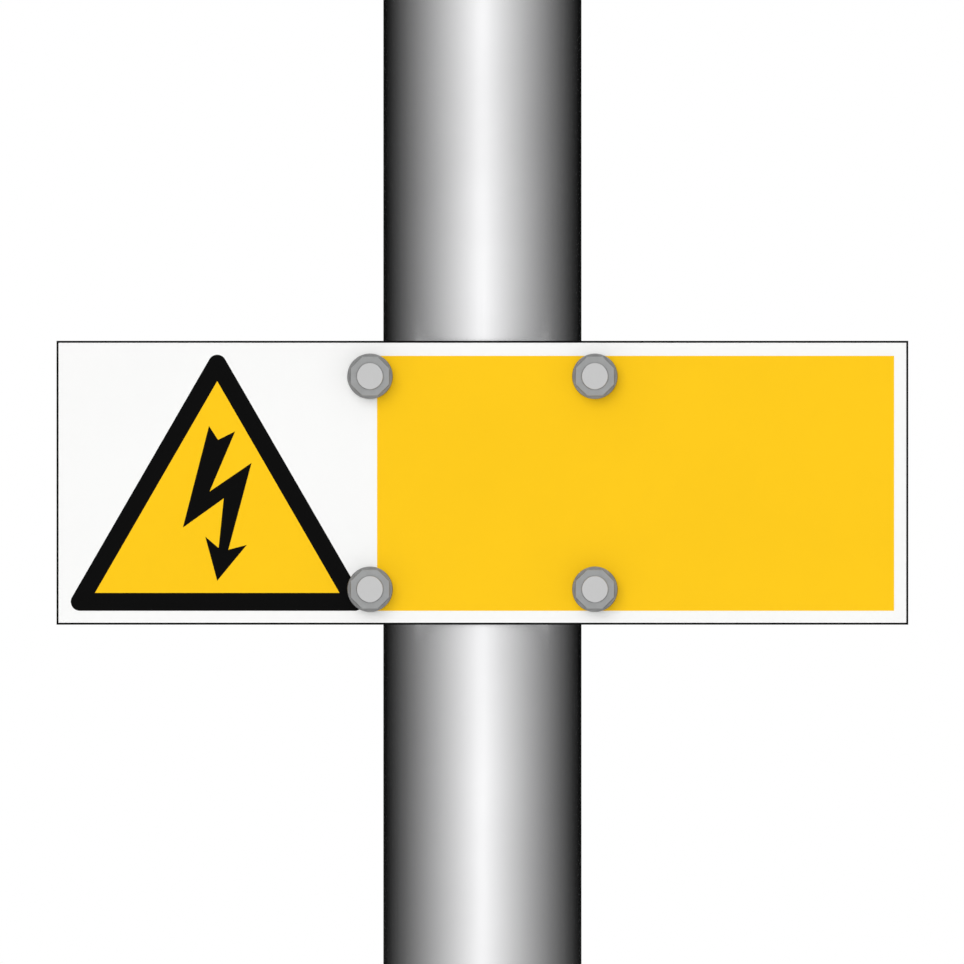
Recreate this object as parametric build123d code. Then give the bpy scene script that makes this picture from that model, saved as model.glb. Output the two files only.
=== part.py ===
from build123d import *
import math
import os

# A warning sign clamped to a round steel post with a bolt-down foot.
# Millimetres. +Z is up, the sign faces -Y, and the origin is the middle of the base plate's underside.

# Post and its push-in cap
post_diameter = 70.0
post_wall = 3.0
post_height = 1500.0
cap_rim = 3.0
cap_rise = 9.0
cap_edge_break = 0.6
cap_wall = 2.5
cap_skirt = 20.0
cap_rib_count = 3
cap_rib_depth = 1.5
cap_fit = 0.1

# Foot
plate_width = 180.0
plate_thickness = 10.0
plate_corner_radius = 15.0
plate_edge_break = 1.0
anchor_hole_diameter = 14.0
anchor_edge_distance = 20.0
weld_leg = 5.0
stiffener_thickness = 6.0
stiffener_height = 60.0
stiffener_setback = 10.0
stiffener_toe = 12.0
stiffener_land = 8.0
stiffener_snipe = 8.0

# Sign panel: a plastic core between two thin metal sheets
sign_width = 300.0
sign_height = 100.0
sign_drop = 200.0
panel_thickness = 3.0
sheet_thickness = 0.3

# Clamp: a pressed channel in front of the post and a bent flat bar behind it
seat_gap = 0.1
web_gap = 1.5
clamp_overhang = 10.4
saddle_thickness = 2.5
saddle_height = 22.0
saddle_depth = 18.0
saddle_bend_radius = 1.5
saddle_tip_width = 6.0
saddle_end_depth = 6.0
strap_thickness = 3.0
strap_width = 22.0
strap_bend_radius = 3.0
strap_corner_radius = 4.0
strap_ear_margin = 0.1

# Bolts, washers and nuts
bolt_diameter = 8.0
bolt_post_gap = 0.6
bolt_edge_distance = 12.5
bolt_hole_clearance = 0.5
head_across_flats = 13.8
head_height = 5.3
head_edge_break = 0.15
boss_diameter = 9.3
boss_height = 1.0
boss_edge_break = 0.12
groove_width = 0.2
groove_depth = 0.25
thread_depth = 0.5
thread_gap = 0.1
thread_lead = 6.0
thread_proud = 4.6
thread_end_break = 0.8
washer_diameter = 16.0
washer_thickness = 1.6
washer_hole_clearance = 0.2
washer_edge_break = 0.2
nut_across_flats = 13.0
nut_height = 6.8
nut_face_share = 0.95
nut_chamfer_angle = 30.0

# Post and foot, worked out
post_radius = post_diameter / 2
bore_radius = post_radius - post_wall
seat_radius = post_radius + seat_gap
anchor_spacing = plate_width - 2 * anchor_edge_distance

# Places along Y, from the panel's face to the nuts
bolt_x = post_radius + bolt_post_gap + bolt_diameter / 2
clamp_half_length = bolt_x + clamp_overhang
panel_back_y = -(post_radius + web_gap + saddle_thickness)
panel_front_y = panel_back_y - panel_thickness
head_seat_y = panel_front_y - washer_thickness
strap_path_radius = seat_radius + strap_thickness / 2
strap_bend_path_radius = strap_bend_radius + strap_thickness / 2
ear_start_x = bolt_x - washer_diameter / 2 - strap_ear_margin
strap_turn = math.degrees(math.asin(ear_start_x / (strap_path_radius + strap_bend_path_radius)))
ear_y = ((strap_path_radius + strap_bend_path_radius) * math.cos(math.radians(strap_turn))
         - strap_bend_path_radius)
back_washer_y = ear_y + strap_thickness / 2
nut_y = back_washer_y + washer_thickness
thread_start_y = ear_y - strap_thickness / 2 - thread_lead
bolt_end_y = nut_y + nut_height + thread_proud

# Heights of the sign and of its two rows of bolts
sign_z = post_height - sign_drop
row_offset = sign_height / 2 - bolt_edge_distance
rows = {"upper": sign_z + row_offset, "lower": sign_z - row_offset}
columns = {"left": -bolt_x, "right": bolt_x}

bolt_hole_radius = bolt_diameter / 2 + bolt_hole_clearance
core_radius = bolt_diameter / 2 - thread_depth
on_base = (Align.CENTER, Align.CENTER, Align.MIN)


def ring(outer_radius, inner_radius, height):
    return Cylinder(outer_radius, height, align=on_base) - Cylinder(inner_radius, height, align=on_base)


def facing_front(y):
    """The place for a piece that was made standing up and now points its top to the front."""
    return Pos(0, y, 0) * Rot(X=90)


def bolt_holes(heights, start_y, end_y):
    hole = facing_front(end_y) * Cylinder(bolt_hole_radius, end_y - start_y, align=on_base)
    return [Pos(x, 0, z) * hole for x in columns.values() for z in heights]


def make_post_tube():
    return Pos(0, 0, plate_thickness) * ring(post_radius, bore_radius, post_height - plate_thickness)


def make_post_cap():
    """A shallow domed plastic cap whose ribbed skirt grips the inside of the tube."""
    skirt_radius = bore_radius - cap_fit - cap_rib_depth
    dome_base_radius = post_radius - cap_edge_break
    dome_radius = (dome_base_radius ** 2 + cap_rise ** 2) / (2 * cap_rise)
    dome_centre = Pos(0, 0, cap_rim + cap_rise - dome_radius)
    rim = Cylinder(post_radius, cap_rim - cap_edge_break, align=on_base)
    rim += Pos(0, 0, cap_rim - cap_edge_break) * Cone(
        post_radius, dome_base_radius, cap_edge_break, align=on_base)
    dome = Cylinder(dome_base_radius, cap_rim + cap_rise, align=on_base) & dome_centre * Sphere(dome_radius)
    skirt_base = Pos(0, 0, -cap_skirt)
    skirt = skirt_base * Cylinder(skirt_radius, cap_skirt, align=on_base)
    rib = Cone(skirt_radius, skirt_radius + cap_rib_depth, cap_rib_depth, align=on_base)
    rib_pitch = cap_skirt / cap_rib_count
    ribs = [skirt_base * Pos(0, 0, rib_pitch * (place + 0.5)) * rib for place in range(cap_rib_count)]
    hollow = skirt_base * Cylinder(skirt_radius - cap_wall, cap_skirt + cap_rim + cap_rise, align=on_base)
    hollow &= dome_centre * Sphere(dome_radius - cap_wall)
    return Pos(0, 0, post_height) * (rim + dome + skirt + ribs - hollow)


def make_base_plate():
    plate = extrude(RectangleRounded(plate_width, plate_width, plate_corner_radius), plate_thickness)
    plate = chamfer(plate.faces().sort_by(Axis.Z)[-1].edges(), plate_edge_break)
    hole = Cylinder(anchor_hole_diameter / 2, plate_thickness, align=on_base)
    return plate - [place * hole for place in GridLocations(anchor_spacing, anchor_spacing, 2, 2)]


def make_foot_weld():
    """A fillet weld all round the tube."""
    profile = Pos(seat_radius, plate_thickness) * Polygon((0, 0), (weld_leg, 0), (0, weld_leg), align=None)
    return revolve(Plane.XZ * profile, Axis.Z)


def make_stiffener(turn):
    """A triangular plate from the tube out to the base plate, sniped over the ring weld."""
    reach = plate_width / 2 - stiffener_setback
    buried = seat_radius - stiffener_thickness
    top = plate_thickness + stiffener_height
    outline = Polygon(
        (seat_radius + stiffener_snipe, plate_thickness),
        (reach, plate_thickness),
        (reach, plate_thickness + stiffener_toe),
        (seat_radius + stiffener_land, top),
        (buried, top),
        (buried, plate_thickness + stiffener_snipe + stiffener_thickness),
        align=None)
    blank = extrude(Plane.XZ * outline, stiffener_thickness / 2, both=True)
    return Rot(Z=turn) * (blank - Cylinder(seat_radius, 2 * top, align=on_base))


def make_panel_layer(front_y, back_y):
    layer = Box(sign_width, back_y - front_y, sign_height, align=(Align.CENTER, Align.MIN, Align.CENTER))
    return Pos(0, front_y, sign_z) * layer - bolt_holes(rows.values(), front_y, back_y)


def make_saddle(z):
    """A pressed channel: its web carries the panel, its two flanges are notched to seat on the tube."""
    length = 2 * clamp_half_length
    along = (Align.CENTER, Align.MIN, Align.CENTER)
    outside = Pos(0, panel_back_y, z) * Box(length, saddle_depth, saddle_height, align=along)
    front_edges = outside.edges().filter_by(Axis.X).group_by(Axis.Y)[0]
    outside = fillet(front_edges, saddle_bend_radius + saddle_thickness)
    inside = Pos(0, panel_back_y + saddle_thickness, z) * Box(
        length, saddle_depth, saddle_height - 2 * saddle_thickness, align=along)
    front_edges = inside.edges().filter_by(Axis.X).group_by(Axis.Y)[0]
    inside = fillet(front_edges, saddle_bend_radius)

    tip_y = panel_back_y + saddle_depth
    tip_x = math.sqrt(seat_radius ** 2 - tip_y ** 2) + saddle_tip_width
    plan = Polygon(
        (-clamp_half_length, panel_back_y),
        (clamp_half_length, panel_back_y),
        (clamp_half_length, panel_back_y + saddle_end_depth),
        (tip_x, tip_y),
        (-tip_x, tip_y),
        (-clamp_half_length, panel_back_y + saddle_end_depth),
        align=None)
    trimmed = (outside - inside) & Pos(0, 0, z) * extrude(plan, saddle_height, both=True)
    notch = Pos(0, 0, z) * Cylinder(seat_radius, 2 * saddle_height)
    return trimmed - notch - bolt_holes([z], panel_back_y, panel_back_y + saddle_thickness)


def make_strap(z):
    """A flat bar bent round the back of the tube, with a flat ear for each bolt."""
    start = Line((-clamp_half_length, ear_y), (-ear_start_x, ear_y))
    first_bend = JernArc(start @ 1, start % 1, strap_bend_path_radius, strap_turn)
    wrap = JernArc(first_bend @ 1, first_bend % 1, strap_path_radius, -2 * strap_turn)
    last_bend = JernArc(wrap @ 1, wrap % 1, strap_bend_path_radius, strap_turn)
    end = Line(last_bend @ 1, (clamp_half_length, ear_y))
    bar = extrude(trace([start, first_bend, wrap, last_bend, end], strap_thickness),
                  strap_width / 2, both=True)
    bar = fillet(bar.edges().filter_by(Axis.Y), strap_corner_radius)
    return Pos(0, 0, z) * bar - bolt_holes([z], ear_y - strap_thickness, ear_y + strap_thickness)


def make_bolt():
    """An octagonal head with a round boss in a fine groove, a plain shank and a threaded end."""
    head = extrude(RegularPolygon(head_across_flats / 2, 8, major_radius=False, rotation=22.5), head_height)
    head = chamfer(head.faces().sort_by(Axis.Z)[-1].edges(), head_edge_break)
    boss_radius = boss_diameter / 2
    groove = Pos(0, 0, head_height - groove_depth) * ring(boss_radius + groove_width, boss_radius, groove_depth)
    boss = Cylinder(boss_radius, boss_height, align=on_base)
    boss = chamfer(boss.faces().sort_by(Axis.Z)[-1].edges(), boss_edge_break)
    shank_length = thread_start_y - head_seat_y
    shank = Pos(0, 0, -shank_length) * Cylinder(bolt_diameter / 2, shank_length, align=on_base)
    thread = Cylinder(core_radius, bolt_end_y - thread_start_y, align=on_base)
    thread = chamfer(thread.faces().sort_by(Axis.Z)[0].edges(), thread_end_break)
    thread = Pos(0, 0, head_seat_y - bolt_end_y) * thread
    bolt = (head - groove) + Pos(0, 0, head_height) * boss + shank + thread
    return facing_front(head_seat_y) * bolt


def make_washer(back_y):
    disc = Cylinder(washer_diameter / 2, washer_thickness, align=on_base)
    disc = chamfer(disc.edges().filter_by(GeomType.CIRCLE), washer_edge_break)
    hole = Cylinder(bolt_diameter / 2 + washer_hole_clearance, washer_thickness, align=on_base)
    return facing_front(back_y) * (disc - hole)


def make_nut():
    """A hexagon nut with its corners turned down at both ends."""
    corner_radius = nut_across_flats / 2 / math.cos(math.radians(30))
    face_radius = nut_across_flats / 2 * nut_face_share
    slope = (corner_radius - face_radius) * math.tan(math.radians(nut_chamfer_angle))
    turned = Polygon((0, 0), (face_radius, 0), (corner_radius, slope), (corner_radius, nut_height - slope),
                     (face_radius, nut_height), (0, nut_height), align=None)
    prism = extrude(RegularPolygon(nut_across_flats / 2, 6, major_radius=False), nut_height)
    bore = Cylinder(core_radius + thread_gap, nut_height, align=on_base)
    nut = (prism & revolve(Plane.XZ * turned, Axis.Z)) - bore
    return facing_front(nut_y + nut_height) * nut


def make_nodes():
    core_front_y = panel_front_y + sheet_thickness
    core_back_y = panel_back_y - sheet_thickness
    nodes = {
        "post_tube": make_post_tube(),
        "post_cap": make_post_cap(),
        "base_plate": make_base_plate(),
        "foot_weld": make_foot_weld(),
        "panel_front_sheet": make_panel_layer(panel_front_y, core_front_y),
        "panel_core": make_panel_layer(core_front_y, core_back_y),
        "panel_back_sheet": make_panel_layer(core_back_y, panel_back_y),
    }
    for side, turn in {"right": 0, "back": 90, "left": 180, "front": 270}.items():
        nodes[f"stiffener_{side}"] = make_stiffener(turn)
    bolt = make_bolt()
    front_washer = make_washer(panel_front_y)
    back_washer = make_washer(nut_y)
    nut = make_nut()
    for row, z in rows.items():
        nodes[f"saddle_{row}"] = make_saddle(z)
        nodes[f"strap_{row}"] = make_strap(z)
        for column, x in columns.items():
            place = Pos(x, 0, z)
            nodes[f"bolt_{row}_{column}"] = place * bolt
            nodes[f"front_washer_{row}_{column}"] = place * front_washer
            nodes[f"back_washer_{row}_{column}"] = place * back_washer
            nodes[f"nut_{row}_{column}"] = place * nut
    return nodes


os.makedirs("parts", exist_ok=True)
for name, solid in make_nodes().items():
    export_step(solid, f"parts/{name}.step")
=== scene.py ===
"""Looks for a warning sign clamped to a round steel post with a bolt-down foot."""

import math

import bmesh
import bpy
from mathutils import Matrix, Vector


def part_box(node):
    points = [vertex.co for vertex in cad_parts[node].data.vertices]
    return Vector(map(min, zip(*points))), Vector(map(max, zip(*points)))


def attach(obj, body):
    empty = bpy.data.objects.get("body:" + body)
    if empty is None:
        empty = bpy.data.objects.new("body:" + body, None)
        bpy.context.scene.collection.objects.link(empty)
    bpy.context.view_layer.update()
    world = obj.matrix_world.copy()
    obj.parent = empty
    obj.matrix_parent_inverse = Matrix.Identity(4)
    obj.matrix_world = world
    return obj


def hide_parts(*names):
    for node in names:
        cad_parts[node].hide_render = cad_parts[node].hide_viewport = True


bl_info = {
    "name": "Post-mounted warning sign",
    "version": (1, 0, 0),
    "blender": (4, 5, 0),
    "location": "3D View > Sidebar > Sign",
    "description": "Prints, welds, threads and finishes of a warning sign on its post",
    "category": "Object",
}

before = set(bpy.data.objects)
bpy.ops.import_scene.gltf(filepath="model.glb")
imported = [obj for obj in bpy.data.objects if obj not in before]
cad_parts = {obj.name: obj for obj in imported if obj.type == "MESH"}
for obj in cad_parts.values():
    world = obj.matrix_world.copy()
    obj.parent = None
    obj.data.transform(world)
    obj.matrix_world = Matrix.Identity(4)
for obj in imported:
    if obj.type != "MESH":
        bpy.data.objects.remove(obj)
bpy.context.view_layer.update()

MM = 0.001
FULL_TURN = 2 * math.pi
QUARTER = FULL_TURN / 4

WHITE = (1, 1, 1, 1)

# Light that falls off by this power looks even to the eye
EYE_GAMMA = 2.2

# Nearly all of a noise pattern's values lie in this range
NOISE_SPAN = {"From Min": 0.3, "From Max": 0.7}

# Sides of a round outline, where it shows large and where it is as small as a bolt
ROUND_SIDES = 96
SMALL_SIDES = 48

# Points nearer to a cutting plane than this count as on it
CUT_TOLERANCE = 0.001 * MM

# Faces that turn by less than this lie in one plane
FLAT_ANGLE = math.radians(0.5)

# Edges that turn by more than this stay sharp, on a weld bead and on a thread
BEAD_CREASE = math.radians(60)
THREAD_CREASE = math.radians(30)

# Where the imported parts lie
plate_low, plate_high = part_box("panel_front_sheet")
plate_centre = (plate_low + plate_high) / 2
tube_low, tube_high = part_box("post_tube")
post_radius = (tube_high.x - tube_low.x) / 2
foot_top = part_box("base_plate")[1].z
rib_low, rib_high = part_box("stiffener_right")
weld_low, weld_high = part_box("foot_weld")

ROWS_AND_COLUMNS = ("upper_left", "upper_right", "lower_left", "lower_right")
bolt_boxes = {place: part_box(f"bolt_{place}") for place in ROWS_AND_COLUMNS}
bolt_centres = {place: (low + high) / 2 for place, (low, high) in bolt_boxes.items()}

# The photograph's frame and the sign's place in it, in pixels
PHOTO_SIDE = 964
SIGN_WIDTH_PX = 851.75
SIGN_CENTRE_PX = (482.4, 482.75)


def linear(code):
    """Turns an sRGB hex colour into the linear values that Blender's colours hold."""
    values = [int(code[place:place + 2], 16) / 255 for place in (0, 2, 4)]
    return tuple(v / 12.92 if v <= 0.04045 else ((v + 0.055) / 1.055) ** 2.4 for v in values)


def length(name, description, millimetres):
    return bpy.props.FloatProperty(
        name=name, description=description, default=millimetres * MM, min=0.0, subtype="DISTANCE",
        unit="LENGTH")


def turn(name, description, degrees):
    return bpy.props.FloatProperty(
        name=name, description=description, default=math.radians(degrees), min=0.0, subtype="ANGLE",
        unit="ROTATION")


def colour(name, description, code):
    return bpy.props.FloatVectorProperty(
        name=name, description=description, default=linear(code), min=0.0, max=1.0, size=3,
        subtype="COLOR")


def amount(name, description, default):
    return bpy.props.FloatProperty(name=name, description=description, default=default, min=0.0)


class SignPrint(bpy.types.PropertyGroup):
    """Sizes of what is printed on the plate"""
    film: length("Film", "Thickness of one layer of ink", 0.04)
    edge_line: length("Edge line", "Width of the black line round the plate", 0.7)
    margin: length("Margin", "From the plate's lower edge to the panel and the triangle", 4.9)
    panel_start: length("Panel start", "From the plate's left edge to the yellow panel", 112.9)
    panel_width: length("Panel width", "Width of the yellow panel", 182.1)
    panel_height: length("Panel height", "Height of the yellow panel", 89.8)
    triangle_centre: length("Triangle centre", "From the plate's left edge to the triangle's middle", 56.6)
    triangle_height: length("Triangle height", "Height of the black triangle with sharp corners", 93.4)
    triangle_corner: length("Triangle corner", "Radius of the black triangle's corners", 3.2)
    field_base: length("Field base", "From the plate's lower edge to the triangle's yellow field", 11.2)
    field_height: length("Field height", "Height of the triangle's yellow field", 74.6)
    bolt_hole: length("Bolt hole", "Diameter of the holes through the printed plate", 9.0)


class SignWelds(bpy.types.PropertyGroup):
    """Sizes of the welds at the foot"""
    stiffener_leg: length("Stiffener leg", "Leg of the welds along the stiffeners", 3.5)
    flatness: amount("Flatness", "Share of the leg that the curve's centre lies behind the corner", 0.35)
    bury: length("Bury", "How deep a bead reaches into both walls", 0.6)
    bow: length("Bow", "How far the middle of a ripple runs ahead of its ends", 0.9)
    ripple_pitch: length("Ripple pitch", "From one ripple of the bead to the next", 2.0)
    ripple_height: length("Ripple height", "How far a ripple stands out", 0.25)
    snipe: length("Snipe", "Cut-away corner where stiffener, tube and plate meet", 8.0)
    end_gap: length("End gap", "From a bead's end to the end of the stiffener", 1.0)


class SignThreads(bpy.types.PropertyGroup):
    """Sizes of the bolts' threads"""
    diameter: length("Diameter", "Over the crests", 8.0)
    root: length("Root", "Diameter that the ridge is sunk to", 6.7)
    pitch: length("Pitch", "From crest to crest", 1.25)
    crest: length("Crest", "Width of the flat on the crests", 0.16)
    base: length("Base", "Width of the ridge at its root", 0.9)
    reach: length("Length", "Threaded length, from the bolt's end", 22.0)
    start: length("Start", "The ridge begins this far inside the bolt's end", 0.75)
    chamfer: length("End chamfer", "The first crests are turned down over this length", 1.35)


class SignFinishes(bpy.types.PropertyGroup):
    """Colours of the finishes"""
    plate_white: colour("Plate white", "Coil coat on both sheets", "F6F6F5")
    core_black: colour("Core black", "Plastic core between the sheets", "1B1B1C")
    core_torn: colour("Core, torn", "The core where the saw tore it paler", "2B2B2C")
    print_yellow: colour("Print yellow", "Warm signal yellow ink", "FECA16")
    print_black: colour("Print black", "Dense black ink", "050505")
    tube_bright: colour("Tube", "Drawn tube, bright", "EEEEEF")
    foot_pale: colour("Foot, pale", "Lighter crystals of the zinc coat", "C6CACD")
    foot_dark: colour("Foot, dark", "Darker crystals of the zinc coat", "AAAFB3")
    clamp_zinc: colour("Clamp zinc", "Bright zinc plate with a cool cast", "C6CBD0")
    washer_grey: colour("Washer grey", "Dull washers under the heads", "A3A3A3")
    head_grey: colour("Head grey", "Dull flats of the bolt heads", "A7A8A8")
    boss_grey: colour("Boss grey", "Turned face in the middle of each head", "C5C5C5")
    boss_depth: length("Boss depth", "How far the turned finish reaches back from the head's front", 0.95)
    cap_black: colour("Cap black", "Moulded plastic cap", "3A3C3F")
    cap_scuffed: colour("Cap, scuffed", "The cap where it is scuffed paler", "46484B")


class SignStage(bpy.types.PropertyGroup):
    """Camera, lights, floor and the card that bright metal mirrors"""
    lens: bpy.props.FloatProperty(
        name="Lens", description="Long enough that the picture shows no perspective",
        default=1400.0, min=50.0, subtype="DISTANCE_CAMERA", unit="CAMERA")
    sky: amount("Sky", "Light from all round", 0.5)
    key: amount("Front light", "Soft light from the front", 1.43)
    fill: amount("Back light", "Soft light from behind", 0.9)
    softness: turn("Softness", "How wide both lights are, seen from the sign", 50)
    card: amount("Card", "Brightness in front of the card that bright metal mirrors", 1.18)
    card_turn: turn("Card turn", "From straight in front, round the card to where its light ends", 160)
    card_radius: length("Card radius", "From the post to the round card", 1300)
    card_low: length("Card drop", "How far the card reaches below the floor", 4000)
    card_high: length("Card height", "From the floor to the card's upper edge", 2700)
    back_card: amount("Back card", "Brightness of the card's lower half behind the post", 0.8)
    back_turn: turn("Back card turn", "From straight behind, round the card to where its light ends", 120)
    back_full: length("Back card full to", "Up to this height the back card is at its brightest", 850)
    back_none: length("Back card gone at", "From this height on there is no back card", 1080)
    strip: amount("Strip", "Brightness of the narrow upright strip light behind the post", 1.4)
    strip_turn: turn("Strip turn", "From straight behind, round the card to where the strip ends", 12)
    floor_pale: colour("Floor", "Pale floor near the object", "F2F2F2")
    floor_radius: length("Floor radius", "Size of the pale floor", 12000)
    floor_near: length("Floor plain to", "Inside this radius the floor is plain and holds the shadow", 700)
    floor_far: length("Floor white from", "From this radius on the floor is as white as the backdrop", 2600)


def new_material(name):
    material = bpy.data.materials.new(name)
    material.use_nodes = True
    material.node_tree.nodes.clear()
    return material, material.node_tree


def add_node(tree, kind, sockets=None, **settings):
    """Adds a node with its settings. A socket gets a value, or a link from a socket or a node."""
    node = tree.nodes.new(kind)
    for name, value in settings.items():
        setattr(node, name, value)
    for name, value in (sockets or {}).items():
        if isinstance(value, bpy.types.Node):
            value = next(output for output in value.outputs if output.enabled)
        if isinstance(value, bpy.types.NodeSocket):
            tree.links.new(value, node.inputs[name])
        else:
            node.inputs[name].default_value = value
    return node


def rgba(values):
    return (*values, 1.0)


def surface_place(tree, stretch=(1, 1, 1)):
    """Object coordinates in metres, stretched for patterns that run one way."""
    place = add_node(tree, "ShaderNodeTexCoord").outputs["Object"]
    return add_node(tree, "ShaderNodeVectorMath", {0: place, 1: stretch}, operation="MULTIPLY")


def blotched(tree, values, fall, size, detail=2.0):
    """Soft blotches of about that size, from 0 to 1, and a colour that darkens there by a share."""
    clouds = add_node(tree, "ShaderNodeTexNoise", {
        "Vector": surface_place(tree), "Scale": 1 / size, "Detail": detail})
    clouds = add_node(tree, "ShaderNodeMapRange", {"Value": clouds, **NOISE_SPAN})
    darker = [value * (1 - fall) for value in values]
    tone = add_node(tree, "ShaderNodeMix", {
        0: clouds, 6: rgba(values), 7: rgba(darker)}, data_type="RGBA")
    return clouds, tone


def finish_material(tree, sockets):
    surface = add_node(tree, "ShaderNodeBsdfPrincipled", sockets)
    add_node(tree, "ShaderNodeOutputMaterial", {"Surface": surface})


def drawn_tube_steel(finishes):
    """Drawn steel tube, bright zinc: it mirrors softly, blurred by fine lines along the tube."""
    material, tree = new_material("drawn_tube_steel")
    # Drawing lines are really about 0.1 mm apart, so they are drawn wider to show
    line_gap = 0.9 * MM
    along_tube = (1, 1, 0.01)
    lines = add_node(tree, "ShaderNodeTexNoise", {
        "Vector": surface_place(tree, along_tube), "Scale": 1 / line_gap})
    handling, tone = blotched(tree, finishes.tube_bright, fall=0.05, size=45 * MM, detail=4.0)
    blur = add_node(tree, "ShaderNodeMapRange", {
        "Value": lines, **NOISE_SPAN, "To Min": 0.18, "To Max": 0.22})
    handled_blur = 0.03
    blur = add_node(tree, "ShaderNodeMath", {
        0: handling, 1: handled_blur, 2: blur}, operation="MULTIPLY_ADD")
    ridges = add_node(tree, "ShaderNodeBump", {"Height": lines, "Distance": 0.002 * MM})
    finish_material(tree, {"Base Color": tone, "Metallic": 1.0, "Roughness": blur, "Normal": ridges})
    return material


def hot_dip_zinc(finishes):
    """Hot-dip galvanised steel: a matt grey coat of feathery crystals, some paler than others."""
    material, tree = new_material("hot_dip_zinc")
    # The borders between crystals wander a little off their straight lines
    wander_size = 14 * MM
    wander_reach = 5 * MM
    wander = add_node(tree, "ShaderNodeTexNoise", {
        "Vector": surface_place(tree), "Scale": 1 / wander_size})
    bent = add_node(tree, "ShaderNodeVectorMath", {
        0: wander.outputs["Color"], 1: (wander_reach,) * 3, 2: surface_place(tree)},
        operation="MULTIPLY_ADD")
    crystal_size = 9 * MM
    crystals = add_node(tree, "ShaderNodeTexVoronoi", {"Vector": bent, "Scale": 1 / crystal_size})
    crystal = crystals.outputs["Color"]
    # Each crystal's own value shifts its feathers, so that they stop at its edge
    feather_shift = 30 * MM
    feather_width = 1.6 * MM
    feather_stretch = (1, 0.3, 0.5)
    feathers = add_node(tree, "ShaderNodeVectorMath", {
        0: crystal, 1: (feather_shift,) * 3, 2: surface_place(tree, feather_stretch)},
        operation="MULTIPLY_ADD")
    feathers = add_node(tree, "ShaderNodeTexNoise", {
        "Vector": feathers, "Scale": 1 / feather_width, "Detail": 3.0})
    feathers = add_node(tree, "ShaderNodeMapRange", {
        "Value": feathers, **NOISE_SPAN, "To Min": -0.22, "To Max": 0.22})
    grain = add_node(tree, "ShaderNodeSeparateColor", {"Color": crystal})
    grain = add_node(tree, "ShaderNodeMath", {0: grain, 1: feathers}, operation="ADD", use_clamp=True)
    tone = add_node(tree, "ShaderNodeMix", {
        0: grain, 6: rgba(finishes.foot_pale), 7: rgba(finishes.foot_dark)}, data_type="RGBA")
    blur = add_node(tree, "ShaderNodeMapRange", {"Value": grain, "To Min": 0.38, "To Max": 0.48})
    run_width = 22 * MM
    downwards = (1, 1, 0.35)
    runs = add_node(tree, "ShaderNodeTexNoise", {
        "Vector": surface_place(tree, downwards), "Scale": 1 / run_width, "Detail": 3.0})
    runs = add_node(tree, "ShaderNodeBump", {"Height": runs, "Distance": 0.25 * MM})
    finish_material(tree, {"Base Color": tone, "Metallic": 1.0, "Roughness": blur, "Normal": runs})
    return material


def zinc_plate(finishes):
    """Zinc-plated pressed steel: clean and half bright, with faint rolling marks under the plating."""
    material, tree = new_material("zinc_plate")
    clouds, tone = blotched(tree, finishes.clamp_zinc, fall=0.12, size=12 * MM, detail=3.0)
    blur = add_node(tree, "ShaderNodeMapRange", {"Value": clouds, "To Min": 0.28, "To Max": 0.36})
    mark_gap = 1.2 * MM
    along_strip = (0.06, 1, 1)
    marks = add_node(tree, "ShaderNodeTexNoise", {
        "Vector": surface_place(tree, along_strip), "Scale": 1 / mark_gap})
    marks = add_node(tree, "ShaderNodeBump", {"Height": marks, "Distance": 0.01 * MM})
    finish_material(tree, {"Base Color": tone, "Metallic": 1.0, "Roughness": blur, "Normal": marks})
    return material


def tumbled_washer_steel(finishes):
    """Stamped and tumbled washer steel: an even dull grey with small soft blotches."""
    material, tree = new_material("tumbled_washer_steel")
    blotches, tone = blotched(tree, finishes.washer_grey, fall=0.1, size=2.2 * MM, detail=3.0)
    blur = add_node(tree, "ShaderNodeMapRange", {"Value": blotches, "To Min": 0.42, "To Max": 0.5})
    dent_size = 0.6 * MM
    dents = add_node(tree, "ShaderNodeTexNoise", {
        "Vector": surface_place(tree), "Scale": 1 / dent_size})
    dents = add_node(tree, "ShaderNodeBump", {"Height": dents, "Distance": 0.01 * MM})
    finish_material(tree, {"Base Color": tone, "Metallic": 1.0, "Roughness": blur, "Normal": dents})
    return material


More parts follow.
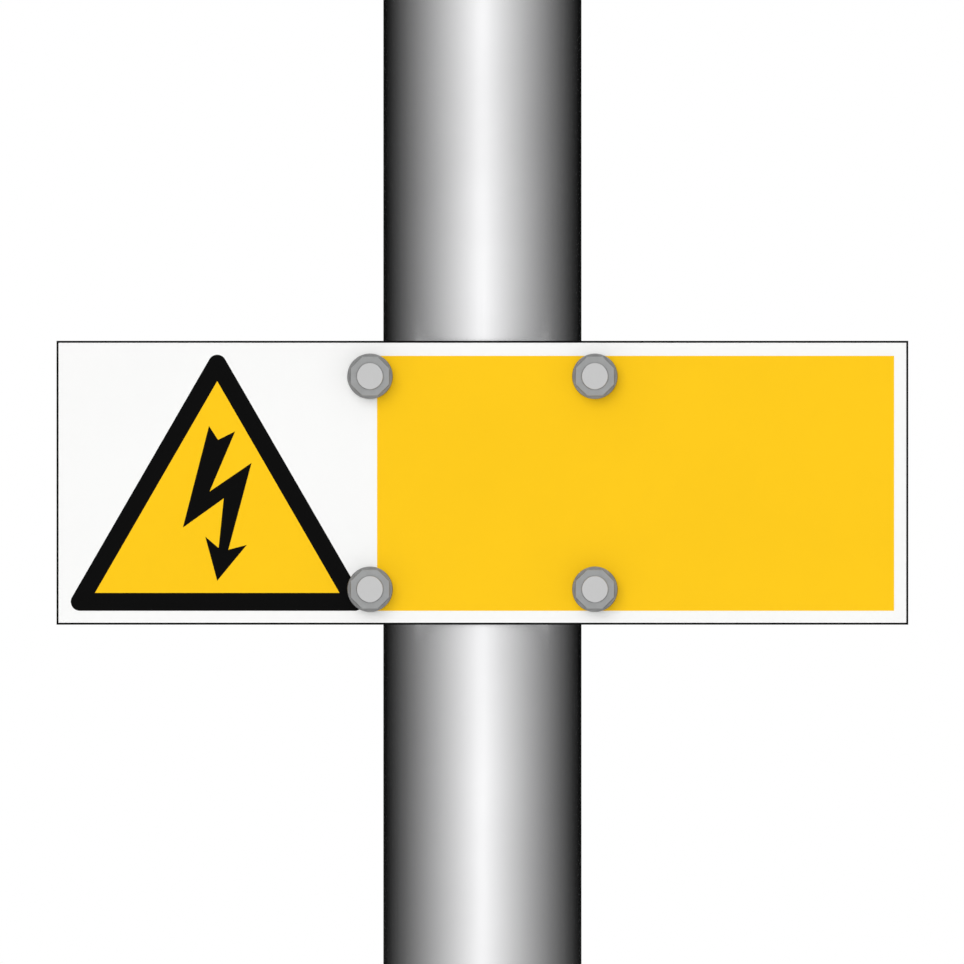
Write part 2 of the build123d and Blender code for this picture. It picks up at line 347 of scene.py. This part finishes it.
def forged_and_turned_steel(finishes):
    """Forged bolt steel left dull, with a brighter boss whose turned face shows the tool's rings."""
    material, tree = new_material("forged_and_turned_steel")
    middle = Vector((0, 0, plate_centre.z))
    bolt = bolt_centres["upper_right"] - middle
    # The four bolts mirror each other, so all four centres fold onto one
    place = add_node(tree, "ShaderNodeVectorMath", {
        0: surface_place(tree), 1: middle}, operation="SUBTRACT")
    folded = add_node(tree, "ShaderNodeVectorMath", {0: place}, operation="ABSOLUTE")
    aside = add_node(tree, "ShaderNodeVectorMath", {0: folded, 1: bolt}, operation="SUBTRACT")
    aside = add_node(tree, "ShaderNodeVectorMath", {0: aside, 1: (1, 0, 1)}, operation="MULTIPLY")
    away = add_node(tree, "ShaderNodeVectorMath", {0: aside}, operation="LENGTH")
    depth = add_node(tree, "ShaderNodeSeparateXYZ", {0: place}).outputs["Y"]
    boss_back = bolt_boxes["upper_right"][0].y + finishes.boss_depth
    boss = add_node(tree, "ShaderNodeMath", {0: depth, 1: boss_back}, operation="LESS_THAN")
    # Real tool rings are about 0.1 mm apart, so they are drawn wider to show
    ring_gap = 0.5 * MM
    rings = add_node(tree, "ShaderNodeMath", {0: away, 1: FULL_TURN / ring_gap}, operation="MULTIPLY")
    rings = add_node(tree, "ShaderNodeMath", {0: rings}, operation="SINE")
    rings = add_node(tree, "ShaderNodeMath", {0: rings, 1: boss}, operation="MULTIPLY")
    rings = add_node(tree, "ShaderNodeBump", {"Height": rings, "Distance": 0.002 * MM})
    dull = blotched(tree, finishes.head_grey, fall=0.08, size=2 * MM, detail=3.0)[1]
    tone = add_node(tree, "ShaderNodeMix", {
        0: boss, 6: dull, 7: rgba(finishes.boss_grey)}, data_type="RGBA")
    blur = add_node(tree, "ShaderNodeMapRange", {"Value": boss, "To Min": 0.42, "To Max": 0.32})
    finish_material(tree, {"Base Color": tone, "Metallic": 1.0, "Roughness": blur, "Normal": rings})
    return material


def coil_coated_sheet(finishes):
    """Coil-coated aluminium sheet: smooth half-gloss white with a faint orange peel."""
    material, tree = new_material("coil_coated_sheet")
    tone = blotched(tree, finishes.plate_white, fall=0.015, size=70 * MM)[1]
    peel_size = 1.6 * MM
    peel = add_node(tree, "ShaderNodeTexNoise", {
        "Vector": surface_place(tree), "Scale": 1 / peel_size, "Detail": 1.0})
    blur = add_node(tree, "ShaderNodeMapRange", {
        "Value": peel, **NOISE_SPAN, "To Min": 0.34, "To Max": 0.4})
    peel = add_node(tree, "ShaderNodeBump", {"Height": peel, "Distance": 0.004 * MM})
    finish_material(tree, {"Base Color": tone, "Roughness": blur, "Normal": peel})
    return material


def sawn_polyethylene(finishes):
    """Black polyethylene core: its sawn edges are matt, with marks of the saw's teeth across them."""
    material, tree = new_material("sawn_polyethylene")
    tooth_gap = 0.7 * MM
    across_edge = (1, 0.1, 1)
    teeth = add_node(tree, "ShaderNodeTexNoise", {
        "Vector": surface_place(tree, across_edge), "Scale": 1 / tooth_gap})
    torn = add_node(tree, "ShaderNodeMapRange", {"Value": teeth, **NOISE_SPAN})
    tone = add_node(tree, "ShaderNodeMix", {
        0: torn, 6: rgba(finishes.core_black), 7: rgba(finishes.core_torn)}, data_type="RGBA")
    teeth = add_node(tree, "ShaderNodeBump", {"Height": teeth, "Distance": 0.03 * MM})
    finish_material(tree, {
        "Base Color": tone, "Roughness": 0.6, "Specular IOR Level": 0.35, "Normal": teeth})
    return material


def screen_ink(name, values):
    """Screen-printed ink: dense and even, less glossy than the plate, with the mesh's faint mottle."""
    material, tree = new_material(name)
    tone = blotched(tree, values, fall=0.02, size=35 * MM)[1]
    # A screen's mesh is really about 0.1 mm wide, so it is drawn wider to show
    mesh_gap = 0.8 * MM
    mesh = add_node(tree, "ShaderNodeTexNoise", {
        "Vector": surface_place(tree), "Scale": 1 / mesh_gap, "Detail": 1.0})
    blur = add_node(tree, "ShaderNodeMapRange", {
        "Value": mesh, **NOISE_SPAN, "To Min": 0.44, "To Max": 0.52})
    mesh = add_node(tree, "ShaderNodeBump", {"Height": mesh, "Distance": 0.002 * MM})
    finish_material(tree, {
        "Base Color": tone, "Roughness": blur, "Specular IOR Level": 0.05, "Normal": mesh})
    return material


def moulded_polyethylene(finishes):
    """Moulded polyethylene: near black, with the fine even grain of the mould and pale scuffs."""
    material, tree = new_material("moulded_polyethylene")
    grain_size = 0.7 * MM
    scuff_size = 9 * MM
    grain = add_node(tree, "ShaderNodeTexNoise", {
        "Vector": surface_place(tree), "Scale": 1 / grain_size, "Detail": 1.0})
    scuffs = add_node(tree, "ShaderNodeTexNoise", {
        "Vector": surface_place(tree), "Scale": 1 / scuff_size, "Detail": 4.0})
    # Only the noise's upper values count as scuffs, so that most of the cap stays dark
    pale = add_node(tree, "ShaderNodeMapRange", {"Value": scuffs, "From Min": 0.45, "From Max": 0.8})
    tone = add_node(tree, "ShaderNodeMix", {
        0: pale, 6: rgba(finishes.cap_black), 7: rgba(finishes.cap_scuffed)}, data_type="RGBA")
    blur = add_node(tree, "ShaderNodeMapRange", {
        "Value": scuffs, **NOISE_SPAN, "To Min": 0.36, "To Max": 0.5})
    grain = add_node(tree, "ShaderNodeBump", {"Height": grain, "Distance": 0.03 * MM})
    finish_material(tree, {"Base Color": tone, "Roughness": blur, "Normal": grain})
    return material


def deselect():
    bpy.ops.object.select_all(action="DESELECT")


def only(piece):
    """Leaves just this piece selected and active."""
    deselect()
    piece.select_set(True)
    bpy.context.view_layer.objects.active = piece


def modify(piece, kind, **settings):
    """Adds a modifier with its settings and applies it."""
    only(piece)
    modifier = piece.modifiers.new(kind.title(), kind)
    for name, value in settings.items():
        setattr(modifier, name, value)
    bpy.ops.object.modifier_apply(modifier=modifier.name)


def select_points(piece, test):
    """In edit mode, selects just the points that pass the test."""
    mesh = bmesh.from_edit_mesh(piece.data)
    bpy.ops.mesh.select_all(action="DESELECT")
    bpy.ops.mesh.select_mode(type="VERT")
    for vert in mesh.verts:
        vert.select = test(vert)
    mesh.select_flush_mode()
    bmesh.update_edit_mesh(piece.data)


def settle(piece):
    """Puts the piece's place into its mesh, so that its object stands at the origin."""
    only(piece)
    bpy.ops.object.transform_apply(location=True, rotation=True, scale=True)


def hand_over(piece, name, finish, slot, *replaced):
    """Names a finished piece, gives it its finish and lets it ride on the object."""
    settle(piece)
    piece.name = piece.data.name = name
    piece.data.materials.clear()
    piece.data.materials.append(bpy.data.materials[finish])
    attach(piece, "root")
    if replaced:
        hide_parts(*replaced)


def copy_piece(piece):
    twin = piece.copy()
    twin.data = piece.data.copy()
    bpy.context.collection.objects.link(twin)
    return twin


def face_point(across, up, layer=0.0):
    """A point on the plate's face, from its lower left corner, that far in front of the sheet."""
    return Vector((plate_low.x + across, plate_low.y - layer, plate_low.z + up))


def add_field(low, high):
    """An upright rectangle that faces the viewer, between two corners of the same depth."""
    deselect()
    bpy.ops.mesh.primitive_plane_add(size=1, location=(low + high) / 2, rotation=(QUARTER, 0, 0))
    field = bpy.context.object
    field.scale = (high.x - low.x, high.z - low.z, 1)
    settle(field)
    return field


def cut_bolt_holes(film, diameter):
    """Cuts a printed film where the bolts go through it."""
    deselect()
    cutters = []
    for centre in bolt_centres.values():
        bpy.ops.mesh.primitive_cylinder_add(
            vertices=SMALL_SIDES, radius=diameter / 2, depth=diameter, rotation=(QUARTER, 0, 0),
            location=(centre.x, plate_low.y, centre.z))
        cutters.append(bpy.context.object)
    for cutter in cutters:
        cutter.select_set(True)
    bpy.ops.object.join()
    cutter = bpy.context.object
    modify(film, "BOOLEAN", object=cutter, operation="DIFFERENCE", solver="EXACT")
    bpy.data.objects.remove(cutter)


class SIGN_OT_edge_line(bpy.types.Operator):
    """Prints the thin black line round the plate's edge"""
    bl_idname = "sign.edge_line"
    bl_label = "Edge line"

    def execute(self, context):
        sizes = context.scene.sign_print
        line = add_field(face_point(0, 0), Vector((plate_high.x, plate_low.y, plate_high.z)))
        bpy.ops.object.mode_set(mode="EDIT")
        bpy.ops.mesh.inset(thickness=sizes.edge_line)
        bpy.ops.mesh.delete(type="FACE")
        bpy.ops.object.mode_set(mode="OBJECT")
        modify(line, "SOLIDIFY", thickness=sizes.film, offset=1.0)
        hand_over(line, "print_edge_line", "black_screen_ink", "print_black")
        return {"FINISHED"}


class SIGN_OT_yellow_panel(bpy.types.Operator):
    """Prints the bare yellow panel right of the triangle"""
    bl_idname = "sign.yellow_panel"
    bl_label = "Yellow panel"

    def execute(self, context):
        sizes = context.scene.sign_print
        low = face_point(sizes.panel_start, sizes.margin)
        panel = add_field(low, low + Vector((sizes.panel_width, 0, sizes.panel_height)))
        modify(panel, "SOLIDIFY", thickness=sizes.film, offset=1.0)
        cut_bolt_holes(panel, sizes.bolt_hole)
        hand_over(panel, "print_yellow_panel", "yellow_screen_ink", "print_yellow")
        return {"FINISHED"}


class SIGN_OT_triangle(bpy.types.Operator):
    """Prints the black triangle with its round corners, and the yellow field inside it"""
    bl_idname = "sign.triangle"
    bl_label = "Triangle"

    def execute(self, context):
        sizes = context.scene.sign_print
        self.print_border(sizes)
        self.print_field(sizes)
        return {"FINISHED"}

    def print_border(self, sizes):
        """Three small discs, one in each corner, wrapped by their hull."""
        # The discs' middles form a triangle that is lower by three of their radii
        corner_height = sizes.triangle_height - 3 * sizes.triangle_corner
        half_width = corner_height / math.sqrt(3)
        base = sizes.margin + sizes.triangle_corner
        corners = [(-half_width, base), (half_width, base), (0, base + corner_height)]
        deselect()
        for number, (across, up) in enumerate(corners):
            bpy.ops.mesh.primitive_cylinder_add(
                vertices=ROUND_SIDES, radius=sizes.triangle_corner, depth=sizes.film,
                rotation=(QUARTER, 0, 0),
                location=face_point(sizes.triangle_centre + across, up, sizes.film / 2))
            if number == 0:
                border = bpy.context.object
                settle(border)
                bpy.ops.object.mode_set(mode="EDIT")
        bpy.ops.mesh.select_all(action="SELECT")
        bpy.ops.mesh.convex_hull()
        bpy.ops.mesh.select_all(action="SELECT")
        bpy.ops.mesh.dissolve_limited(angle_limit=FLAT_ANGLE)
        bpy.ops.object.mode_set(mode="OBJECT")
        cut_bolt_holes(border, sizes.bolt_hole)
        hand_over(border, "print_triangle", "black_screen_ink", "print_black")

    def print_field(self, sizes):
        """A flat triangle with sharp corners, one film above the border."""
        deselect()
        # An even triangle's middle lies a third of the way up
        centre_up = sizes.field_base + sizes.field_height / 3
        bpy.ops.mesh.primitive_circle_add(
            vertices=3, radius=sizes.field_height * 2 / 3, fill_type="NGON", rotation=(QUARTER, 0, 0),
            location=face_point(sizes.triangle_centre, centre_up, sizes.film))
        field = bpy.context.object
        modify(field, "SOLIDIFY", thickness=sizes.film, offset=1.0)
        hand_over(field, "print_triangle_field", "yellow_screen_ink", "print_yellow")


class SIGN_OT_arrow(bpy.types.Operator):
    """Prints the black lightning arrow in the triangle"""
    bl_idname = "sign.arrow"
    bl_label = "Lightning arrow"

    # Millimetres from the triangle's middle and from the plate's lower edge
    outline = (
        (-2.9, 70.0), (0.3, 65.1), (6.3, 68.1), (-2.7, 46.9), (12.1, 57.0), (3.9, 26.4),
        (10.4, 28.1), (0.0, 15.5), (-4.2, 31.0), (0.5, 27.0), (2.3, 44.5), (-12.1, 34.2))

    def execute(self, context):
        sizes = context.scene.sign_print
        curve = bpy.data.curves.new("arrow", "CURVE")
        curve.dimensions = "2D"
        curve.fill_mode = "FRONT"
        spline = curve.splines.new("POLY")
        spline.points.add(len(self.outline) - 1)
        for point, (across, up) in zip(spline.points, self.outline):
            point.co = (across * MM, up * MM, 0, 1)
        spline.use_cyclic_u = True
        arrow = bpy.data.objects.new("arrow", curve)
        bpy.context.collection.objects.link(arrow)
        only(arrow)
        bpy.ops.object.convert(target="MESH")
        arrow = bpy.context.object
        arrow.rotation_euler = (QUARTER, 0, 0)
        films_below = 2
        arrow.location = face_point(sizes.triangle_centre, 0, films_below * sizes.film)
        modify(arrow, "SOLIDIFY", thickness=sizes.film, offset=1.0)
        hand_over(arrow, "print_arrow", "black_screen_ink", "print_black")
        return {"FINISHED"}


# A bead's rings of points from one ripple to the next, and how high each ring stands out
RIPPLE = (0.0, 1.0, 0.7, 0.3)


def add_bead_profile(leg, welds):
    """A fillet weld's outline in the XZ plane, its corner at the origin, bowed forward along Y."""
    back = leg * welds.flatness
    deselect()
    bpy.ops.mesh.primitive_circle_add(
        vertices=SMALL_SIDES, radius=math.hypot(leg + back, back), fill_type="NGON",
        location=(-back, 0, -back), rotation=(QUARTER, 0, 0))
    profile = bpy.context.object
    settle(profile)
    bpy.ops.object.mode_set(mode="EDIT")
    for wall in (Vector((1, 0, 0)), Vector((0, 0, 1))):
        bpy.ops.mesh.select_all(action="SELECT")
        bpy.ops.mesh.bisect(plane_co=-welds.bury * wall, plane_no=wall, clear_inner=True)
    bpy.ops.mesh.select_all(action="SELECT")
    bpy.ops.mesh.delete(type="ONLY_FACE")
    bpy.ops.object.mode_set(mode="OBJECT")
    # The bow is full halfway between the walls and none on them
    for vert in profile.data.vertices:
        across, up = max(vert.co.x, 0), max(vert.co.z, 0)
        vert.co.y = welds.bow * 2 * across * up / (vert.co.x ** 2 + vert.co.z ** 2)
    return profile


def draw_out(profile, welds, count, **path):
    """Draws the outline out along a screw path and raises its rings of points into ripples."""
    ring_size = len(profile.data.vertices)
    rings = count * len(RIPPLE)
    modify(profile, "SCREW", steps=rings, render_steps=rings, use_normal_calculate=True, **path)
    bpy.ops.object.mode_set(mode="EDIT")
    bpy.ops.mesh.select_all(action="SELECT")
    bpy.ops.mesh.fill_holes(sides=0)
    bpy.ops.mesh.select_all(action="SELECT")
    bpy.ops.mesh.normals_make_consistent(inside=False)
    for place, share in enumerate(RIPPLE):
        select_points(profile, lambda vert: vert.index // ring_size % len(RIPPLE) == place)
        bpy.ops.transform.shrink_fatten(value=share * welds.ripple_height)
    bpy.ops.object.mode_set(mode="OBJECT")
    return ring_size


def add_bead(start, end, walls, welds):
    """A straight bead from start to end, in the corner where two walls run off that way."""
    run = end - start
    along = run.normalized()
    first, second = walls
    if first.cross(along).dot(second) < 0:
        first, second = second, first
    bead = add_bead_profile(welds.stiffener_leg, welds)
    count = round(run.length / welds.ripple_pitch)
    ring_size = draw_out(bead, welds, count, axis="Y", angle=0.0, screw_offset=run.length)
    last = count * len(RIPPLE)
    bpy.ops.object.mode_set(mode="EDIT")
    # Towards each end the last rings shrink as a ball's do
    for away in range(len(RIPPLE)):
        round_off = math.sqrt(1 - (1 - (away + 0.5) / len(RIPPLE)) ** 2)
        select_points(bead, lambda vert: vert.index // ring_size in (away, last - away))
        bpy.ops.transform.resize(value=(round_off, 1, round_off), center_override=(0, 0, 0))
    bpy.ops.object.mode_set(mode="OBJECT")
    place = Matrix((first, along, second)).transposed().to_4x4()
    place.translation = start
    bead.matrix_world = place
    settle(bead)
    return bead


class SIGN_OT_foot_weld(bpy.types.Operator):
    """Lays the rippled weld bead round the tube on the base plate"""
    bl_idname = "sign.foot_weld"
    bl_label = "Foot weld"

    def execute(self, context):
        welds = context.scene.sign_welds
        ring = add_bead_profile(weld_high.z - weld_low.z, welds)
        ring.location = (post_radius, 0, foot_top)
        settle(ring)
        count = round(FULL_TURN * post_radius / welds.ripple_pitch)
        draw_out(ring, welds, count, axis="Z", angle=FULL_TURN, screw_offset=0.0)
        bpy.ops.object.shade_smooth_by_angle(angle=BEAD_CREASE)
        hand_over(ring, "foot_weld_bead", "hot_dip_zinc", "foot_steel", "foot_weld")
        return {"FINISHED"}


class SIGN_OT_stiffener_welds(bpy.types.Operator):
    """Lays a bead on both sides of each stiffener, along the plate and up the tube"""
    bl_idname = "sign.stiffener_welds"
    bl_label = "Stiffener welds"

    def execute(self, context):
        welds = context.scene.sign_welds
        foot_start, foot_end = post_radius + welds.snipe, rib_high.x - welds.end_gap
        tube_start, tube_end = foot_top + welds.snipe, rib_high.z - welds.end_gap
        up, outward = Vector((0, 0, 1)), Vector((1, 0, 0))
        beads = []
        for side, aside in ((rib_low.y, Vector((0, -1, 0))), (rib_high.y, Vector((0, 1, 0)))):
            tube_x = math.sqrt(post_radius ** 2 - side ** 2)
            beads.append(add_bead(
                Vector((foot_start, side, foot_top)), Vector((foot_end, side, foot_top)),
                (aside, up), welds))
            beads.append(add_bead(
                Vector((tube_x, side, tube_start)), Vector((tube_x, side, tube_end)),
                (aside, outward), welds))
        deselect()
        for bead in beads:
            bead.select_set(True)
        bpy.context.view_layer.objects.active = beads[0]
        bpy.ops.object.join()
        first = bpy.context.object
        bpy.ops.object.shade_smooth_by_angle(angle=BEAD_CREASE)
        quarters_from_right = {"back": 1, "left": 2, "front": 3}
        for side, quarters in quarters_from_right.items():
            twin = copy_piece(first)
            twin.rotation_euler = (0, 0, quarters * QUARTER)
            hand_over(twin, f"weld_{side}", "hot_dip_zinc", "foot_steel")
        hand_over(first, "weld_right", "hot_dip_zinc", "foot_steel")
        return {"FINISHED"}


class SIGN_OT_threads(bpy.types.Operator):
    """Winds the thread's ridge round the end of each bolt"""
    bl_idname = "sign.threads"
    bl_label = "Threads"

    def execute(self, context):
        sizes = context.scene.sign_threads
        end_y = bolt_boxes["upper_left"][1].y
        thread = self.wind(sizes)
        self.turn_down(thread, sizes)
        thread.rotation_euler = (QUARTER, 0, 0)
        thread.location = (0, end_y, 0)
        settle(thread)
        for place, centre in bolt_centres.items():
            twin = copy_piece(thread)
            twin.location = (centre.x, 0, centre.z)
            hand_over(twin, f"thread_{place}", "forged_and_turned_steel", "bolt_steel")
        bpy.data.objects.remove(thread)
        return {"FINISHED"}

    def wind(self, sizes):
        """A ridge with sloping flanks, wound up Z from below the origin and cut flat at both ends."""
        root, crest = sizes.root / 2, sizes.diameter / 2
        # One turn too many at each end, which the cuts take off
        turns = math.ceil(sizes.reach / sizes.pitch) + 2
        deselect()
        bpy.ops.mesh.primitive_plane_add(size=1, rotation=(QUARTER, 0, 0))
        ridge = bpy.context.object
        ridge.scale = (crest - root, sizes.base, 1)
        ridge.location = ((crest + root) / 2, 0, -sizes.pitch)
        settle(ridge)
        bpy.ops.object.mode_set(mode="EDIT")
        select_points(ridge, lambda vert: vert.co.x > (crest + root) / 2)
        bpy.ops.transform.resize(value=(1, 1, sizes.crest / sizes.base))
        bpy.ops.mesh.select_all(action="SELECT")
        bpy.ops.mesh.delete(type="ONLY_FACE")
        bpy.ops.object.mode_set(mode="OBJECT")
        modify(
            ridge, "SCREW", axis="Z", angle=FULL_TURN, screw_offset=sizes.pitch, iterations=turns,
            steps=SMALL_SIDES, render_steps=SMALL_SIDES, use_normal_calculate=True)
        bpy.ops.object.mode_set(mode="EDIT")
        for height, way in ((sizes.start, -1), (sizes.reach, 1)):
            bpy.ops.mesh.select_all(action="SELECT")
            bpy.ops.mesh.bisect(
                plane_co=(0, 0, height), plane_no=(0, 0, way), use_fill=True, clear_outer=True,
                threshold=CUT_TOLERANCE)
        bpy.ops.mesh.select_all(action="SELECT")
        bpy.ops.mesh.normals_make_consistent(inside=False)
        bpy.ops.object.mode_set(mode="OBJECT")
        bpy.ops.object.shade_smooth_by_angle(angle=THREAD_CREASE)
        return ridge

    def turn_down(self, ridge, sizes):
        """Lowers the first crests, as a chamfered bolt end has them."""
        for vert in ridge.data.vertices:
            limit = sizes.diameter / 2 - max(0.0, sizes.chamfer - vert.co.z)
            away = math.hypot(vert.co.x, vert.co.y)
            if away > limit:
                vert.co.x *= limit / away
                vert.co.y *= limit / away


class SIGN_OT_finishes(bpy.types.Operator):
    """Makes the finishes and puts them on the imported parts"""
    bl_idname = "sign.finishes"
    bl_label = "Finishes"

    def execute(self, context):
        finishes = context.scene.sign_finishes
        screen_ink("yellow_screen_ink", finishes.print_yellow)
        screen_ink("black_screen_ink", finishes.print_black)
        self.put(drawn_tube_steel(finishes), "post_tube")
        self.put(moulded_polyethylene(finishes), "post_cap")
        self.put(hot_dip_zinc(finishes), "base_plate", "foot_weld", "stiffener_")
        self.put(coil_coated_sheet(finishes), "panel_front_sheet", "panel_back_sheet")
        self.put(sawn_polyethylene(finishes), "panel_core")
        self.put(zinc_plate(finishes), "saddle_", "strap_", "back_washer_", "nut_")
        self.put(forged_and_turned_steel(finishes), "bolt_")
        self.put(tumbled_washer_steel(finishes), "front_washer_")
        return {"FINISHED"}

    def put(self, material, *starts):
        """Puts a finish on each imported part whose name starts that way."""
        for name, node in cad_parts.items():
            if name.startswith(starts):
                node.data.materials.clear()
                node.data.materials.append(material)


class SIGN_OT_stage(bpy.types.Operator):
    """Lays the pale floor, lights the object softly and looks at the sign from the front"""
    bl_idname = "sign.stage"
    bl_label = "Stage"

    def execute(self, context):
        stage = context.scene.sign_stage
        self.set_camera(context, stage)
        self.set_world(context, stage)
        self.add_lights(context, stage)
        self.add_floor(stage)
        self.add_card(stage)
        context.scene.view_settings.view_transform = "Standard"
        return {"FINISHED"}

    def set_camera(self, context, stage):
        """Stands the camera so far off that the sign fills the picture as in the photograph."""
        # In metres, and well past the far edge of the floor
        farthest_seen = 200.0
        data = bpy.data.cameras.new("camera")
        data.lens = stage.lens
        data.clip_end = farthest_seen
        view_width = (plate_high.x - plate_low.x) * PHOTO_SIDE / SIGN_WIDTH_PX
        distance = view_width * data.lens / data.sensor_width
        pixel = view_width / PHOTO_SIDE
        aside = (PHOTO_SIDE / 2 - SIGN_CENTRE_PX[0]) * pixel
        above = (SIGN_CENTRE_PX[1] - PHOTO_SIDE / 2) * pixel
        camera = bpy.data.objects.new("camera", data)
        camera.location = (aside, plate_low.y - distance, plate_centre.z + above)
        camera.rotation_euler = (QUARTER, 0, 0)
        context.collection.objects.link(camera)
        context.scene.camera = camera

    def seen_rays(self, tree):
        """1 for what the camera, metal or glass sees, and 0 for light that falls on the object."""
        rays = add_node(tree, "ShaderNodeLightPath").outputs
        seen = add_node(tree, "ShaderNodeMath", {
            0: rays["Is Camera Ray"], 1: rays["Is Glossy Ray"]}, operation="MAXIMUM")
        return add_node(tree, "ShaderNodeMath", {
            0: seen, 1: rays["Is Transmission Ray"]}, operation="MAXIMUM")

    def set_world(self, context, stage):
        world = bpy.data.worlds.new("studio")
        world.use_nodes = True
        tree = world.node_tree
        tree.nodes.clear()
        strength = add_node(tree, "ShaderNodeMapRange", {
            "Value": self.seen_rays(tree), "To Min": stage.sky, "To Max": 1.0})
        light = add_node(tree, "ShaderNodeBackground", {"Color": WHITE, "Strength": strength})
        add_node(tree, "ShaderNodeOutputWorld", {"Surface": light})
        context.scene.world = world

    def add_lights(self, context, stage):
        """Two soft lights that metal doesn't mirror, tilted from overhead and turned from the front."""
        lights = (
            ("front_light", stage.key, 72, -14),
            ("back_light", stage.fill, 50, 160),
        )
        for name, energy, tilt, turned in lights:
            data = bpy.data.lights.new(name, "SUN")
            data.energy = energy
            data.angle = stage.softness
            light = bpy.data.objects.new(name, data)
            light.rotation_euler = (math.radians(tilt), 0, math.radians(turned))
            light.visible_glossy = False
            context.collection.objects.link(light)

    def add_floor(self, stage):
        """A pale floor that holds the shadow near the object and turns white far from it."""
        deselect()
        bpy.ops.mesh.primitive_circle_add(
            vertices=ROUND_SIDES, radius=stage.floor_radius, fill_type="NGON")
        floor = bpy.context.object
        floor.name = "floor"
        floor.visible_glossy = False
        material, tree = new_material("pale_floor")
        away = add_node(tree, "ShaderNodeVectorMath", {0: surface_place(tree)}, operation="LENGTH")
        fade = add_node(tree, "ShaderNodeMapRange", {
            "Value": away, "From Min": stage.floor_near, "From Max": stage.floor_far},
            interpolation_type="SMOOTHSTEP")
        share = add_node(tree, "ShaderNodeMath", {
            0: fade, 1: self.seen_rays(tree)}, operation="MULTIPLY")
        pale = add_node(tree, "ShaderNodeBsdfDiffuse", {"Color": rgba(stage.floor_pale)})
        white = add_node(tree, "ShaderNodeEmission", {"Color": WHITE, "Strength": 1.0})
        mixed = add_node(tree, "ShaderNodeMixShader", {0: share, 1: pale, 2: white})
        add_node(tree, "ShaderNodeOutputMaterial", {"Surface": mixed})
        floor.data.materials.append(material)

    def graded(self, tree, side, end):
        """Light that falls evenly, to the eye, from white on one side of the card to black at a turn."""
        level = add_node(tree, "ShaderNodeVectorMath", {
            0: surface_place(tree, (1, 1, 0))}, operation="NORMALIZE")
        toward = add_node(tree, "ShaderNodeVectorMath", {0: level, 1: side}, operation="DOT_PRODUCT")
        angle = add_node(tree, "ShaderNodeMath", {0: toward}, operation="ARCCOSINE")
        grey = add_node(tree, "ShaderNodeMapRange", {
            "Value": angle, "From Max": end, "To Min": 1.0, "To Max": 0.0})
        return add_node(tree, "ShaderNodeMath", {0: grey, 1: EYE_GAMMA}, operation="POWER")

    def add_card(self, stage):
        """A round card that only mirrored light sees: white in front, lit again low down at the back."""
        deselect()
        bpy.ops.mesh.primitive_cylinder_add(
            vertices=ROUND_SIDES, radius=stage.card_radius, depth=stage.card_high + stage.card_low,
            end_fill_type="NOTHING", location=(0, 0, (stage.card_high - stage.card_low) / 2))
        card = bpy.context.object
        card.name = "card"
        settle(card)
        card.visible_camera = card.visible_diffuse = card.visible_transmission = False
        card.visible_shadow = card.visible_volume_scatter = False
        material, tree = new_material("graded_card")
        front = self.graded(tree, (0, -1, 0), stage.card_turn)
        back = self.graded(tree, (0, 1, 0), stage.back_turn)
        strip = self.graded(tree, (0, 1, 0), stage.strip_turn)
        height = add_node(tree, "ShaderNodeSeparateXYZ", {0: surface_place(tree)}).outputs["Z"]
        low = add_node(tree, "ShaderNodeMapRange", {
            "Value": height, "From Min": stage.back_full, "From Max": stage.back_none,
            "To Min": stage.back_card, "To Max": 0.0}, interpolation_type="SMOOTHSTEP")
        light = add_node(tree, "ShaderNodeMath", {0: strip, 1: stage.strip}, operation="MULTIPLY")
        light = add_node(tree, "ShaderNodeMath", {0: back, 1: low, 2: light}, operation="MULTIPLY_ADD")
        light = add_node(tree, "ShaderNodeMath", {
            0: front, 1: stage.card, 2: light}, operation="MULTIPLY_ADD")
        glow = add_node(tree, "ShaderNodeEmission", {"Color": WHITE, "Strength": light})
        add_node(tree, "ShaderNodeOutputMaterial", {"Surface": glow})
        card.data.materials.append(material)


GROUPS = {
    "sign_stage": SignStage,
    "sign_finishes": SignFinishes,
    "sign_print": SignPrint,
    "sign_welds": SignWelds,
    "sign_threads": SignThreads,
}

STEPS = {
    "sign_stage": (SIGN_OT_stage,),
    "sign_finishes": (SIGN_OT_finishes,),
    "sign_print": (SIGN_OT_edge_line, SIGN_OT_yellow_panel, SIGN_OT_triangle, SIGN_OT_arrow),
    "sign_welds": (SIGN_OT_foot_weld, SIGN_OT_stiffener_welds),
    "sign_threads": (SIGN_OT_threads,),
}


class SIGN_PT_panel(bpy.types.Panel):
    """Lists the steps that dress the sign, with their sizes and colours"""
    bl_idname = "SIGN_PT_panel"
    bl_label = "Warning sign"
    bl_space_type = "VIEW_3D"
    bl_region_type = "UI"
    bl_category = "Sign"

    def draw(self, context):
        for group, steps in STEPS.items():
            box = self.layout.box()
            settings = getattr(context.scene, group)
            for name in GROUPS[group].__annotations__:
                box.prop(settings, name)
            for step in steps:
                box.operator(step.bl_idname)


CLASSES = (*GROUPS.values(), *[step for steps in STEPS.values() for step in steps], SIGN_PT_panel)


def register():
    for item in CLASSES:
        bpy.utils.register_class(item)
    for name, group in GROUPS.items():
        setattr(bpy.types.Scene, name, bpy.props.PointerProperty(type=group))


def unregister():
    for name in GROUPS:
        delattr(bpy.types.Scene, name)
    for item in reversed(CLASSES):
        bpy.utils.unregister_class(item)


def main():
    register()
    bpy.ops.sign.stage()
    bpy.ops.sign.finishes()
    bpy.ops.sign.edge_line()
    bpy.ops.sign.yellow_panel()
    bpy.ops.sign.triangle()
    bpy.ops.sign.arrow()
    bpy.ops.sign.foot_weld()
    bpy.ops.sign.stiffener_welds()
    bpy.ops.sign.threads()


if __name__ == "__main__":
    main()
